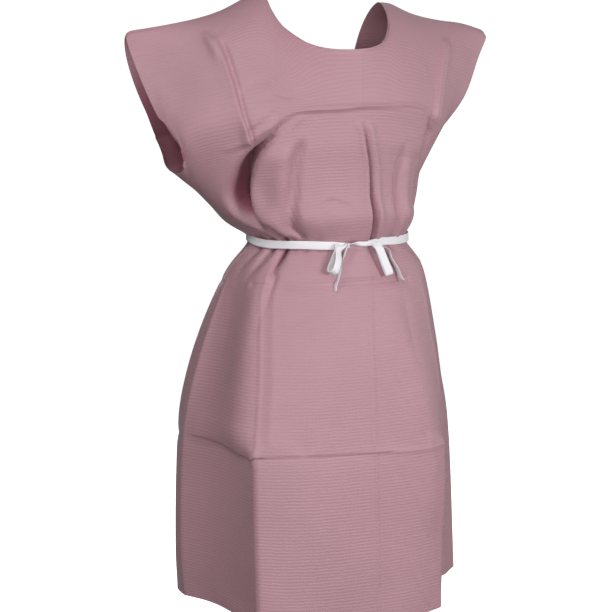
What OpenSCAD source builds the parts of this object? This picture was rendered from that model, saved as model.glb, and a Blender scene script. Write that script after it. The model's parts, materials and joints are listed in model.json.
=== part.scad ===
// Disposable patient gown: one tissue sheet folded over the shoulders, worn open at the back,
// held at the waist by a flat tie belt with a front bow.
// +Z is up, the front faces -Y, the wearer's right is -X.
// The origin is midway between the two sides of the neck opening, on the shoulder line.

/* [Gown] */
// Height from the shoulder line down to the hem at the side seams
gown_drop = 936; // [880:4:990]
// Distance between the outer tips of the two cap sleeves
sleeve_span = 618; // [590:2:650]
// Depth of the skirt at the hem, front to back
hem_depth = 306; // [290:2:330]
// Thickness of the gown's wall
wall = 1.2; // [1:0.1:1.5]

/* [Neck] */
// Width of the neck opening along the shoulders
neck_w = 188; // [176:2:198]
// Drop of the front neckline below the shoulder line
neck_drop = 76; // [66:2:86]

/* [Side seams] */
// Width of the bonded seam allowance inside each side
seam_w = 9; // [7:0.5:12]

/* [Belt] */
// Width of the flat tie belt
belt_w = 12.7; // [11:0.1:14]
// Thickness of the tie belt
belt_th = 1; // [0.8:0.1:1.2]
// Length of the bow's loop on the wearer's right
right_loop_l = 45; // [36:1:50]
// Length of the bow's loop on the wearer's left
left_loop_l = 54; // [44:1:60]
// Length of the tie end on the wearer's right
right_tail_l = 70; // [56:1:78]
// Length of the tie end on the wearer's left
left_tail_l = 63; // [50:1:70]

/* [Hidden] */

RIGHT = -1;
LEFT = 1;
gown_mauve = [0.71, 0.56, 0.59];
seam_mauve = [0.62, 0.47, 0.50];
belt_white = [0.93, 0.93, 0.95];

// Scale of the drape against a standard gown
drop_scale = gown_drop / 936;
span_scale = sleeve_span / 618;
depth_scale = hem_depth / 306;

// The drape of the cloth, level by level down the body: the chest fold, the armhole base,
// the ribs, three at the belt, the middle fold, the thigh, the lower fold and the hem.
// [place, side height, front height, back height, right edge, left edge,
//  front depth, back depth, squareness, seam depth, side half gap]
LEVELS = [
    [1.00, -207, -159, -196, -256, 207, 125,  88, 1.9, 10, 24],
    [1.50, -266, -232, -258, -216, 174, 112,  90, 2.0, 12, 0.4],
    [2.00, -318, -300, -316, -178, 158, 103,  94, 2.0,  8, 0.4],
    [2.42, -359, -360, -359, -131, 148, 101,  97, 2.0,  3, 0.4],
    [2.50, -368, -369, -368, -129, 146, 100,  96, 2.0,  2, 0.4],
    [2.58, -377, -378, -377, -131, 148, 101,  97, 2.0,  2, 0.4],
    [3.00, -432, -438, -430, -166, 174, 119, 102, 2.2,  4, 0.4],
    [3.50, -550, -560, -548, -206, 206, 148, 108, 2.4, 10, 0.4],
    [4.00, -672, -684, -668, -226, 224, 164, 116, 2.6, 14, 0.4],
    [5.00, -936, -950, -932, -230, 230, 174, 132, 2.7, 16, 0.4]];
BELT_TOP = 2.42;
BELT = 2.5;
BELT_FOOT = 2.58;
HEM = 5;
// Gap left between neighbouring panels, as a step of place or of share
joint_gap = 0.002;

// The shoulder line: sleeve tips, and the neck opening as a share of each half
tip_x = 309 * span_scale;
tip_y = 40;
tip_z = -48 * drop_scale;
neck_share = 0.36;
neck_front_y = -95 * depth_scale;
neck_back_y = 62 * depth_scale;
neck_back_z = -14;

// The back opening: how far each free edge stays from the middle of the back, by place
OPENING = [[0, 0.36], [0.7, 0.34], [1, 0.27], [1.5, 0.16], [2, 0.08], [2.5, 0.04], [5, 0.014]];
// The cut between shoulder and cap sleeve, as a share of each half
sleeve_cut_top = 0.62;
sleeve_cut_slope = 0.28;
sleeve_cut_gap = 0.004;
// Each vent folds along a straight line. Place where the line starts, below the belt
vent_top = 2.7;
// Distance of the line from the middle of the body, at its top and at the hem
vent_top_x = 20;
vent_hem_x = 150 * span_scale;
// Gap along the line, as a step of share
vent_gap = 0.006;

// Grid steps of the cloth panels
across = 9;
along = 8;
// Rows of the panels, as places down the body
BODICE_ROWS = [1.006, 1.25, 1.5, 1.75, 2, 2.2, BELT_TOP - joint_gap];
HIP_ROWS = [BELT_TOP, BELT, BELT_FOOT, 2.72, 2.86, 3 - joint_gap];
UPPER_ROWS = [3, 3.17, 3.33, 3.5, 3.67, 3.83, 4 - joint_gap];
LOWER_ROWS = [4, 4.33, 4.67, HEM];
BACK_ROWS = [BELT_TOP, BELT, BELT_FOOT, vent_top - joint_gap, vent_top,
             2.85, 3, 3.25, 3.5, 3.75, 4, 4.33, 4.67, HEM];
VENT_ROWS = [2.86, 3, 3.25, 3.5, 3.75, 4, 4.33, 4.67, HEM];

function sign_pow(value, power) = sign(value) * pow(abs(value), power);
function mix(a, b, k) = a + (b - a) * k;

// Smooth curve through the rows of a table, read at a place in its first column
function row_at(table, place) =
    max([0, for (i = [0 : len(table) - 2]) if (table[i][0] <= place) i]);
function slope(table, i, column) =
    let (low = max(i - 1, 0), high = min(i + 1, len(table) - 1))
    (table[high][column] - table[low][column]) / (table[high][0] - table[low][0]);
function smooth(table, place, column) =
    let (i = row_at(table, place),
         step = table[i + 1][0] - table[i][0],
         s = (place - table[i][0]) / step,
         m0 = slope(table, i, column) * step,
         m1 = slope(table, i + 1, column) * step)
    (2 * s ^ 3 - 3 * s ^ 2 + 1) * table[i][column] + (s ^ 3 - 2 * s ^ 2 + s) * m0
    + (3 * s ^ 2 - 2 * s ^ 3) * table[i + 1][column] + (s ^ 3 - s ^ 2) * m1;

// A point of the body tube. share runs from 0 at the middle of the front or back to 1 at
// the side seam; side is RIGHT or LEFT; face is -1 for the front and 1 for the back.
function tube_point(place, share, side, face) =
    let (across_sin = sin(90 * share),
         across_cos = cos(90 * share),
         power = 2 / smooth(LEVELS, place, 8),
         right_x = smooth(LEVELS, place, 4) * span_scale,
         left_x = smooth(LEVELS, place, 5) * span_scale,
         depth = smooth(LEVELS, place, face < 0 ? 6 : 7) * depth_scale,
         side_z = smooth(LEVELS, place, 1),
         middle_z = smooth(LEVELS, place, face < 0 ? 2 : 3),
         half_gap = max(smooth(LEVELS, place, 10), 0))
    [(left_x + right_x) / 2 + side * (left_x - right_x) / 2 * sign_pow(across_sin, power),
     smooth(LEVELS, place, 9)
        + face * (half_gap + (depth - half_gap) * sign_pow(across_cos, power)),
     drop_scale * mix(side_z, middle_z, pow(max(across_cos, 0), 1.2))];

// A point of the top line: the shoulder fold, or the neckline within the neck opening
function top_point(share, side, face) =
    share <= neck_share
    ? let (turn = 90 * share / neck_share, drop = pow(max(cos(turn), 0), 0.9))
        [side * neck_w / 2 * sin(turn),
         (face < 0 ? neck_front_y : neck_back_y) * drop,
         (face < 0 ? -neck_drop : neck_back_z) * drop]
    : let (k = (share - neck_share) / (1 - neck_share))
        [side * mix(neck_w / 2, tip_x, k), tip_y * pow(k, 1.5), tip_z * pow(k, 0.75)];

// A point of the cloth anywhere from the shoulder line (place 0) to the hem (place 5).
// Over the shoulders the cloth turns down like a quarter of an ellipse.
function cloth_point(place, share, side, face) =
    place >= 1 ? tube_point(place, share, side, face)
    : let (top = top_point(share, side, face),
           chest = tube_point(1, share, side, face),
           turn = 0.75 * min(share / neck_share, 1),
           out = mix(place, sin(90 * place), turn),
           down = mix(place, 1 - cos(90 * place), turn))
        [mix(top[0], chest[0], place), mix(top[1], chest[1], out), mix(top[2], chest[2], down)];

// Outward direction of a grid of points at row r, column c
function grid_normal(grid, r, c) =
    let (down = grid[min(r + 1, len(grid) - 1)][c] - grid[max(r - 1, 0)][c],
         over = grid[r][min(c + 1, len(grid[0]) - 1)] - grid[r][max(c - 1, 0)],
         n = cross(over, down))
    n / norm(n);

// A closed wall of even thickness on a grid of points. flip turns the wall's faces over
// for grids whose columns run the other way.
module sheet_wall(grid, flip = false) {
    rows = len(grid);
    columns = len(grid[0]);
    count = rows * columns;
    outer = [for (r = [0 : rows - 1]) for (c = [0 : columns - 1])
             grid[r][c] + grid_normal(grid, r, c) * wall / 2];
    inner = [for (r = [0 : rows - 1]) for (c = [0 : columns - 1])
             grid[r][c] - grid_normal(grid, r, c) * wall / 2];
    faces = concat(
        [for (r = [0 : rows - 2]) for (c = [0 : columns - 2])
         let (a = r * columns + c) each [[a, a + 1, a + columns + 1], [a, a + columns + 1, a + columns]]],
        [for (r = [0 : rows - 2]) for (c = [0 : columns - 2])
         let (a = count + r * columns + c)
         each [[a, a + columns + 1, a + 1], [a, a + columns, a + columns + 1]]],
        [for (c = [0 : columns - 2]) each [[c, count + c, count + c + 1], [c, count + c + 1, c + 1]]],
        [for (c = [0 : columns - 2]) let (a = (rows - 1) * columns + c)
         each [[a, a + 1, count + a + 1], [a, count + a + 1, count + a]]],
        [for (r = [0 : rows - 2]) let (a = r * columns)
         each [[a, a + columns, count + a + columns], [a, count + a + columns, count + a]]],
        [for (r = [0 : rows - 2]) let (a = r * columns + columns - 1)
         each [[a, count + a, count + a + columns], [a, count + a + columns, a + columns]]]);
    points = concat(outer, inner);
    polyhedron(points, flip ? [for (f = faces) [f[2], f[1], f[0]]] : faces);
}

// Inner edge of a back panel, and the sleeve cut, at a place
function opening_at(place) = smooth(OPENING, place, 1);
function sleeve_cut(place) = sleeve_cut_top + sleeve_cut_slope * place;

// Middle of the body and half its width at a place
function middle_x(place) =
    (smooth(LEVELS, place, 4) + smooth(LEVELS, place, 5)) / 2 * span_scale;
function half_x(place) =
    (smooth(LEVELS, place, 5) - smooth(LEVELS, place, 4)) / 2 * span_scale;

// The vent's fold line, straight from beside the opening out to vent_hem_x at the hem
function fold_x(place, side) =
    let (top_z = smooth(LEVELS, vent_top, 1), hem_z = smooth(LEVELS, HEM, 1))
    mix(middle_x(BELT) + side * vent_top_x, side * vent_hem_x,
        max((smooth(LEVELS, place, 1) - top_z) / (hem_z - top_z), 0));
// Share at which the back panel reaches the fold line
function vent_fold(place, side) =
    let (reach = side * (fold_x(place, side) - middle_x(place)) / half_x(place))
    place < vent_top ? opening_at(place)
    : asin(pow(reach, smooth(LEVELS, place, 8) / 2)) / 90;

// A full-width front panel through the given rows
module front_panel(rows) {
    color(gown_mauve)
        sheet_wall([for (place = rows)
                    [for (c = [-across : across])
                     cloth_point(place, abs(c) / across, c < 0 ? RIGHT : LEFT, -1)]]);
}

// A panel over one shoulder: up the front to the fold line and down the back, from an
// inner to an outer share at each row
module shoulder_panel(side, columns, inner_front, inner_back, outer) {
    color(gown_mauve)
        sheet_wall([for (r = [-along : along])
                    let (place = abs(r) / along,
                         inner = r < 0 ? inner_front[-r] : inner_back[r])
                    [for (c = [0 : columns])
                     cloth_point(place, mix(inner, outer[abs(r)], c / columns), side,
                                 r <= 0 ? -1 : 1)]],
                   flip = side == LEFT);
}

// One side of the back through the given rows, from an inner to an outer share of each
module back_panel(side, rows, columns, inner, outer) {
    color(gown_mauve)
        sheet_wall([for (r = [0 : len(rows) - 1])
                    [for (c = [0 : columns])
                     cloth_point(rows[r], mix(inner[r], outer[r], c / columns), side, 1)]],
                   flip = side == RIGHT);
}

module front_yoke() {
    reach = neck_share - joint_gap;
    color(gown_mauve)
        sheet_wall([for (r = [0 : along])
                    [for (c = [-across : across])
                     cloth_point(r / along, reach * abs(c) / across, c < 0 ? RIGHT : LEFT, -1)]]);
}

module shoulder(side) {
    shoulder_panel(side, 5,
                   [for (r = [0 : along]) neck_share],
                   [for (r = [0 : along]) opening_at(r / along)],
                   [for (r = [0 : along]) sleeve_cut(r / along)]);
}
module right_shoulder() { shoulder(RIGHT); }
module left_shoulder() { shoulder(LEFT); }

module cap_sleeve(side) {
    cut = [for (r = [0 : along]) sleeve_cut(r / along) + sleeve_cut_gap];
    shoulder_panel(side, 4, cut, cut, [for (r = [0 : along]) 1]);
}
module right_cap_sleeve() { cap_sleeve(RIGHT); }
module left_cap_sleeve() { cap_sleeve(LEFT); }

module front_bodice() { front_panel(BODICE_ROWS); }
module front_hip() { front_panel(HIP_ROWS); }
module front_skirt_upper() { front_panel(UPPER_ROWS); }
module front_skirt_lower() { front_panel(LOWER_ROWS); }

module back_bodice(side) {
    back_panel(side, BODICE_ROWS, 7,
               [for (place = BODICE_ROWS) opening_at(place)], [for (place = BODICE_ROWS) 1]);
}
module right_back_bodice() { back_bodice(RIGHT); }
module left_back_bodice() { back_bodice(LEFT); }

module back_skirt(side) {
    back_panel(side, BACK_ROWS, 7,
               [for (place = BACK_ROWS) vent_fold(place, side)], [for (place = BACK_ROWS) 1]);
}
module right_back_skirt() { back_skirt(RIGHT); }
module left_back_skirt() { back_skirt(LEFT); }

module back_vent(side) {
    back_panel(side, VENT_ROWS, 5,
               [for (place = VENT_ROWS) opening_at(place)],
               [for (place = VENT_ROWS) vent_fold(place, side) - vent_gap]);
}
module right_back_vent() { back_vent(RIGHT); }
module left_back_vent() { back_vent(LEFT); }

// Bonded allowance of a side seam: a flat strip that stands in from the joined edges
seam_clear = wall / 2 + 1.1;
SEAM_ROWS = concat([for (place = BODICE_ROWS) if (place >= 1.75) place], BACK_ROWS);
module side_seam(side) {
    color(seam_mauve)
        sheet_wall([for (place = SEAM_ROWS)
                    let (edge = tube_point(place, 1, side, -1),
                         middle = [edge[0], smooth(LEVELS, place, 9), edge[2]])
                    [for (reach = [seam_clear + seam_w, seam_clear]) middle - [side * reach, 0, 0]]],
                   flip = side == LEFT);
}
module right_side_seam() { side_seam(RIGHT); }
module left_side_seam() { side_seam(LEFT); }

// Middle line of the belt round the waist, a little outside the cloth
belt_clear = wall / 2 + belt_th / 2 + 1.4;
belt_z = smooth(LEVELS, BELT, 1) * drop_scale;
waist_half = half_x(BELT) + belt_clear;
waist_middle = middle_x(BELT);
waist_front = smooth(LEVELS, BELT, 6) * depth_scale + belt_clear;
waist_back = smooth(LEVELS, BELT, 7) * depth_scale + belt_clear;
waist_seam_y = smooth(LEVELS, BELT, 9);
function belt_point(turn) =
    [waist_middle + waist_half * sin(turn),
     waist_seam_y - (cos(turn) > 0 ? waist_front : waist_back) * cos(turn), 0];
// Depth of the belt's front face at a distance x from the middle of the body
function belt_face(x) =
    let (reach = (x - waist_middle) / waist_half)
    waist_seam_y - waist_front * sqrt(1 - reach ^ 2) - belt_th / 2;

module belt_band() {
    sides = 48;
    step = 360 / sides;
    ring = [for (i = [0 : sides - 1])
            let (n = [sin(i * step), -cos(i * step), 0] * belt_th / 2,
                 up = [0, 0, belt_w / 2],
                 p = belt_point(i * step) + [0, 0, belt_z])
            each [p - n - up, p + n - up, p + n + up, p - n + up]];
    color(belt_white)
        polyhedron(ring, [for (i = [0 : sides - 1]) for (k = [0 : 3])
                          let (a = 4 * i + k, b = 4 * i + (k + 1) % 4,
                               c = 4 * ((i + 1) % sides) + (k + 1) % 4,
                               d = 4 * ((i + 1) % sides) + k)
                          each [[a, c, b], [a, d, c]]]);
}

// The bow is tied at the front, on a twisted stretch of the tape that serves as its knot.
// A loop and an end hang from each side of it.
knot_x = 12.5;
knot_half = 18.5;
knot_r = 3.4;
knot_y = belt_face(knot_x) - knot_r - 0.3;
module belt_knot() {
    color(belt_white)
        hull() {
            for (k = [-1, 1])
                translate([knot_x + k * knot_half, knot_y, belt_z]) sphere(knot_r, $fn = 16);
        }
}

// Each hanging piece hangs from a point just in front of the belt, as far from the knot as
// is given here, and leans outward over the flare of the hip
hang_gap = 3;
hang_lean = 20;
right_loop_x = knot_x - knot_half - 16;
left_loop_x = knot_x + knot_half + 12;
right_tail_x = knot_x - knot_half - 5;
left_tail_x = knot_x + knot_half + 30;
tail_drop = 6;
module hanging(x, drop, sideways) {
    color(belt_white)
        translate([x, belt_face(x) - hang_gap, belt_z - drop])
            rotate([-hang_lean, 0, 0]) rotate([0, sideways, 0]) children();
}

// A loop hangs flat against the skirt, folded at its foot
module bow_loop(x, length, sideways) {
    fold_r = 2.8;
    fold_y = -1.2;
    hanging(x, 1, sideways)
        translate([-belt_w / 2, 0, 0]) rotate([90, 0, 90]) linear_extrude(belt_w)
            difference() {
                hull() {
                    translate([0, -belt_th]) circle(belt_th, $fn = 24);
                    translate([fold_y, fold_r - length]) circle(fold_r, $fn = 24);
                }
                hull() {
                    translate([-0.3, -7]) circle(0.3, $fn = 16);
                    translate([fold_y, fold_r - length]) circle(fold_r - belt_th, $fn = 24);
                }
            }
}
module right_bow_loop() { bow_loop(right_loop_x, right_loop_l, 29); }
module left_bow_loop() { bow_loop(left_loop_x, left_loop_l, -16); }

// A tie end hangs edge-on, with its width standing out from the skirt
module tie_end(x, length, sideways) {
    hanging(x, tail_drop, sideways)
        translate([-belt_th / 2, -belt_w, -length]) cube([belt_th, belt_w, length - 1]);
}
module right_tie_end() { tie_end(right_tail_x, right_tail_l, 9); }
module left_tie_end() { tie_end(left_tail_x, left_tail_l, -22); }

front_yoke();
right_shoulder();
left_shoulder();
right_cap_sleeve();
left_cap_sleeve();
front_bodice();
front_hip();
front_skirt_upper();
front_skirt_lower();
right_back_bodice();
left_back_bodice();
right_back_skirt();
left_back_skirt();
right_back_vent();
left_back_vent();
right_side_seam();
left_side_seam();
belt_band();
belt_knot();
right_bow_loop();
left_bow_loop();
right_tie_end();
left_tie_end();
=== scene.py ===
"""Looks of the disposable patient gown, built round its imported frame.

The gown is one tissue sheet folded over the shoulders, gathered by a tape belt. The cloth is
one curved surface with its folds, pleats and pack creases; it is cut into pieces only where
the sleeves and the back vents move. The belt, knot and bow are flat straps.
Lengths in the tables are millimetres, as in the CAD; everything handed to Blender is metres.
"""
import json
import math

import bpy
import numpy as np
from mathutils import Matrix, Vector


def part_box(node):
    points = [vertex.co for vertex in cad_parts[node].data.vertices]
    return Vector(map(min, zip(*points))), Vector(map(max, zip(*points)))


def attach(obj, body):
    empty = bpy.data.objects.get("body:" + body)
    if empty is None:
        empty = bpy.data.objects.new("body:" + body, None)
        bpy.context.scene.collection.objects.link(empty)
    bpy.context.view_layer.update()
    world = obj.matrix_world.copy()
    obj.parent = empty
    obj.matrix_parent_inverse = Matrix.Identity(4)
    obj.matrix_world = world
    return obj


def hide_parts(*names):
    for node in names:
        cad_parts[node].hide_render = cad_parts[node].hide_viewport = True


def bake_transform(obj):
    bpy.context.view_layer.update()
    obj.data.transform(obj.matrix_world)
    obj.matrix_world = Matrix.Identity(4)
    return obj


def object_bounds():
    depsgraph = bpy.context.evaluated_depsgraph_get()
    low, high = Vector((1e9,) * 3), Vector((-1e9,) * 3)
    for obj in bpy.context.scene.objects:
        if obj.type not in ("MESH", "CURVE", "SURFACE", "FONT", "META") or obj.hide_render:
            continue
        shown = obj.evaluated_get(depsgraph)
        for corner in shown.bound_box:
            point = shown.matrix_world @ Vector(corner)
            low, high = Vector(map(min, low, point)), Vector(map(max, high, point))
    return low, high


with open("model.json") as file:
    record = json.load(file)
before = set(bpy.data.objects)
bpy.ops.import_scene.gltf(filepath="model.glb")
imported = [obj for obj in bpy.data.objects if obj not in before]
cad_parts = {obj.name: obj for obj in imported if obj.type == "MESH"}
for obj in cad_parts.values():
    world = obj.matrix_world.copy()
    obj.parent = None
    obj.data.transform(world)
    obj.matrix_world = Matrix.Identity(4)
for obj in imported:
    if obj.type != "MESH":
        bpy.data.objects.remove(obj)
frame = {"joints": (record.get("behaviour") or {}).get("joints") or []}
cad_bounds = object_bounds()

MM = 0.001
RIGHT, LEFT = -1, 1
SIDES = ((RIGHT, "right"), (LEFT, "left"))
FRONT, BACK = -1, 1


# -------- the drape, as the CAD has it
# place, side z, front z, back z, right x, left x, front depth, back depth, squareness, seam y
LEVELS = np.array([
    [1.00, -207, -159, -196, -256, 207, 125, 88, 1.9, 10],
    [1.50, -266, -232, -258, -216, 174, 112, 90, 2.0, 12],
    [2.00, -318, -300, -316, -178, 158, 103, 94, 2.0, 8],
    [2.42, -359, -360, -359, -131, 148, 101, 97, 2.0, 3],
    [2.50, -368, -369, -368, -129, 146, 100, 96, 2.0, 2],
    [2.58, -377, -378, -377, -131, 148, 101, 97, 2.0, 2],
    [3.00, -432, -438, -430, -166, 174, 119, 102, 2.2, 4],
    [3.50, -550, -560, -548, -206, 206, 148, 108, 2.4, 10],
    [4.00, -672, -684, -668, -226, 224, 164, 116, 2.6, 14],
    [5.00, -936, -950, -932, -230, 230, 174, 132, 2.7, 16]], float)
CHEST, BELT, LOW_CREASE, HEM = 1.0, 2.5, 4.0, 5.0
# Sleeve tip, then the neck opening: its share, half widths, and (y, z) of its front and back
TIP = (309, 40, -48)
NECK_SHARE, NECK_RIGHT, NECK_LEFT, NECK_FRONT, NECK_BACK = 0.36, 105, 94, (-95, -74.5), (62, -14)
NECK_ROLL, TIP_ROUND, TIP_DROP = 0.16, 0.05, 6
# Rise of the shoulder line, by share
RISE_RIGHT = [(0.36, 14), (0.45, 12), (0.55, 4), (0.65, 0), (0.8, -1), (1, 0)]
RISE_LEFT = [(0.33, -4), (0.36, -3), (0.39, 1), (0.43, 3), (0.55, -2), (0.7, -1), (0.85, 3), (1, 0)]
# Free edge of each side of the back, as a share of the half width, by place
OPENING = [(0, 0.36), (0.15, 0.335), (0.35, 0.315), (0.7, 0.30), (1, 0.26), (1.5, 0.16), (2, 0.08),
           (2.5, 0.04), (5, 0.014)]
# The armhole's half gap at the side, by place: shut where the side seam starts
ARMHOLE_GAP = [(0.8, 25), (1.0, 25), (1.2, 23), (1.34, 18), (1.42, 10), (1.46, 0), (1.6, 0)]
SEAM_TOP = 1.46
# Sideways shift of the outermost cloth, by place
EDGE_SHIFT_RIGHT = [(0, 0), (0.8, -1), (1.0, -8), (1.2, -15), (1.4, -25), (1.55, -18), (1.7, -8),
                    (1.9, -2), (2.1, 0), (3.2, 0), (4.0, -7), (4.7, -8), (5, -1)]
EDGE_SHIFT_LEFT = [(0, 0), (0.7, 0), (0.95, -8), (1.15, -12), (1.35, -9), (1.6, -4), (1.9, 0),
                   (3.5, 0), (4, 9), (4.5, 15), (5, 20)]
# The right armhole gapes: its front edge stands this far out and forwards
GAPE_OUT, GAPE_FORWARD = 9, 16
# The armhole edges bow towards the back between the shoulder tip and the chest
EDGE_BOW = {RIGHT: 18, LEFT: 4}
# The belt draws the cloth in by this share of its width, about this x
WAIST_SQUEEZE, WAIST_MIDDLE = 0.05, 8.5


def hermite(s, start, end, start_slope, end_slope):
    """Cubic that runs from start to end while s goes from 0 to 1."""
    return ((2 * s**3 - 3 * s**2 + 1) * start + (s**3 - 2 * s**2 + s) * start_slope
            + (3 * s**2 - 2 * s**3) * end + (s**3 - s**2) * end_slope)


def curve(points, x):
    """Smooth curve through (x, y) points, level beyond its ends."""
    points = np.asarray(points, float)
    knots, values = points[:, 0], points[:, 1]
    x = np.clip(np.asarray(x, float), knots[0], knots[-1])
    i = np.clip(np.searchsorted(knots, x, side="right") - 1, 0, len(knots) - 2)
    here = np.arange(len(knots))
    low, high = np.maximum(here - 1, 0), np.minimum(here + 1, len(knots) - 1)
    slopes = (values[high] - values[low]) / (knots[high] - knots[low])
    step = knots[i + 1] - knots[i]
    return hermite((x - knots[i]) / step, values[i], values[i + 1], slopes[i] * step, slopes[i + 1] * step)


def unit(vectors):
    return vectors / np.linalg.norm(vectors, axis=-1, keepdims=True).clip(1e-12)


def swell(distance, width):
    """A round hump, 1 in the middle."""
    return np.exp(-(distance / width)**2)


def levels(place):
    """Each column of LEVELS, after the first, at a place."""
    return [curve(LEVELS[:, [0, column]], place) for column in range(1, LEVELS.shape[1])]


def smoothstep(a, b, x):
    s = np.clip((x - a) / (b - a), 0, 1)
    return s * s * (3 - 2 * s)


def window(x, start, end, soft):
    """1 between start and end, falling smoothly to 0 within soft outside them."""
    return smoothstep(start - soft, start, x) * (1 - smoothstep(end, end + soft, x))


def tube_point(place, share, face):
    """The body tube: share is signed, 0 at the middle and -1 or 1 at the side seams."""
    turn = np.radians(90 * np.abs(share))
    across, ahead = np.sin(turn), np.cos(turn).clip(0)
    side_z, front_z, back_z, right_x, left_x, front_depth, back_depth, squareness, seam_y = levels(place)
    depth, middle_z = (front_depth, front_z) if face == FRONT else (back_depth, back_z)
    power = 2 / squareness
    gap = curve(ARMHOLE_GAP, place)
    return np.stack([
        (left_x + right_x) / 2 + np.sign(share) * (left_x - right_x) / 2 * across**power,
        seam_y + face * (gap + (depth - gap) * ahead**power),
        side_z + (middle_z - side_z) * ahead**1.2], -1)


def top_point(share, face):
    """The top line: the neckline inside the neck opening, the shoulder fold outside it."""
    side, share = np.sign(share), np.abs(share)
    turn = np.radians(90 * np.minimum(share / NECK_SHARE, 1))
    drop = np.cos(turn).clip(0)**0.75
    neck_y, neck_z = NECK_FRONT if face == FRONT else NECK_BACK
    roll = NECK_ROLL * np.abs(neck_z)
    fall = np.sqrt((neck_z * drop)**2 + roll**2) - roll
    fall *= np.abs(neck_z) / (np.sqrt(neck_z**2 + roll**2) - roll)
    rise = np.where(side < 0, curve(RISE_RIGHT, share), curve(RISE_LEFT, share))
    neck_rise = rise * (1 - smoothstep(0, 0.5, drop))
    neck_half = np.where(side < 0, NECK_RIGHT, NECK_LEFT)
    neck = np.stack([side * neck_half * np.sin(turn)**0.75, neck_y * drop, neck_rise - fall], -1)
    k = ((share - NECK_SHARE) / (1 - NECK_SHARE)).clip(0)
    rounded = ((k - 1 + TIP_ROUND) / TIP_ROUND).clip(0)
    sag = TIP_DROP * (1 - np.sqrt(1 - 0.98 * rounded**2)) - rise
    shoulder = np.stack([side * (neck_half + (TIP[0] - neck_half) * k),
                         TIP[1] * k**1.5, TIP[2] * k**0.75 - sag], -1)
    return np.where((share <= NECK_SHARE)[..., None], neck, shoulder)


def cloth_point(place, share, face):
    """The bare drape in mm: the body tube below the chest, and a cap from there to the top line."""
    place, share = np.broadcast_arrays(np.asarray(place, float), np.asarray(share, float))
    chest = tube_point(np.maximum(place, 1), share, face)
    top = top_point(share, face)
    v = np.clip(place, 0, 1)
    turn = 0.75 * np.minimum(np.abs(share) / NECK_SHARE, 1)
    out = v + (np.sin(np.radians(90 * v)) - v) * turn
    down = v + (1 - np.cos(np.radians(90 * v)) - v) * turn
    edge = smoothstep(0.5, 1, np.abs(share))
    along = v**(1 + edge * np.where(share < 0, 1.3, 0.6))
    blend = np.stack([along, out, down], -1)
    points = np.where((place >= 1)[..., None], chest, top + (chest - top) * blend)
    shift_x = np.where(share < 0, curve(EDGE_SHIFT_RIGHT, place), curve(EDGE_SHIFT_LEFT, place))
    points[..., 0] += edge * shift_x
    if face == FRONT:
        gape = window(place, 0.9, 1.4, 0.055) * (0.4 + 0.6 * smoothstep(0.8, 1.25, place))
        gape = np.where(share < 0, gape * smoothstep(0.7, 1, np.abs(share)), 0)
        points[..., 0] += GAPE_OUT * gape
        points[..., 1] -= GAPE_FORWARD * gape
    points[..., 1] += edge * np.where(share < 0, EDGE_BOW[RIGHT], EDGE_BOW[LEFT]) * np.sin(np.pi * v)
    waist = 1 - WAIST_SQUEEZE * swell(place - BELT, 0.16)
    points[..., 0] = WAIST_MIDDLE + (points[..., 0] - WAIST_MIDDLE) * waist
    return points


# -------- the cloth's own grid
# Pack creases run at the quarter lines and the middle of the sheet. This is where each lies
# on the drape: its share, by place.
CREASE_RIGHT = [(0, -0.69), (0.39, -0.61), (0.84, -0.507), (1.2, -0.447), (1.6, -0.465),
                (2.1, -0.53), (2.58, -0.575), (3, -0.6), (3.25, -0.547), (3.54, -0.497),
                (4, -0.468), (4.15, -0.455), (5, -0.436)]
CREASE_MIDDLE = [(0, 0.02), (1, 0.1), (1.22, 0.12), (1.67, 0.157), (2.02, 0.15), (2.45, 0.12),
                 (3, 0.073), (3.4, 0.043), (4, 0.027), (5, 0.023)]
CREASE_LEFT = [(0, 0.72), (0.44, 0.70), (0.8, 0.63), (1.05, 0.603), (1.6, 0.58), (2.5, 0.56),
               (3, 0.55), (4, 0.56), (5, 0.56)]
# Half the sheet's width in mm, and how deep the neck is cut into it in m
HALF_SHEET, NECK_CUT = 381, 0.115
# Rows of the grid: start and end place of each band, and its steps
ROW_BANDS = [(0, 1, 52), (1, 2, 40), (2, 2.42, 18), (2.42, 2.58, 8), (2.58, 3, 18),
             (3, 4, 56), (4, 5, 58)]


def spread(start, end, count, pull=0.65):
    """Steps from start to end that close up towards both ends, where the creases are."""
    u = np.linspace(0, 1, count + 1)
    return start + (end - start) * (u - pull * np.sin(2 * math.pi * u) / (2 * math.pi))


def joined(bands):
    return np.concatenate([spread(*b)[:-1] for b in bands] + [[bands[-1][1]]])


def share_of(column, place):
    """Share at which a cloth column (-1 to 1) lies at a place: a curve through the creases."""
    quarter = 0.5
    knots = [-1, -quarter, 0, quarter, 1]
    ends = np.ones_like(place)
    creases = [curve(line, place) for line in (CREASE_RIGHT, CREASE_MIDDLE, CREASE_LEFT)]
    values = [-ends] + creases + [ends]
    slopes = np.gradient(np.array(values), quarter, axis=0)
    out = np.zeros(np.broadcast(column, place).shape)
    for k in range(4):
        piece = hermite((column - knots[k]) / quarter, values[k], values[k + 1],
                        slopes[k] * quarter, slopes[k + 1] * quarter)
        out = np.where((column >= knots[k]) & (column <= knots[k + 1]), piece, out)
    return out


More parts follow.
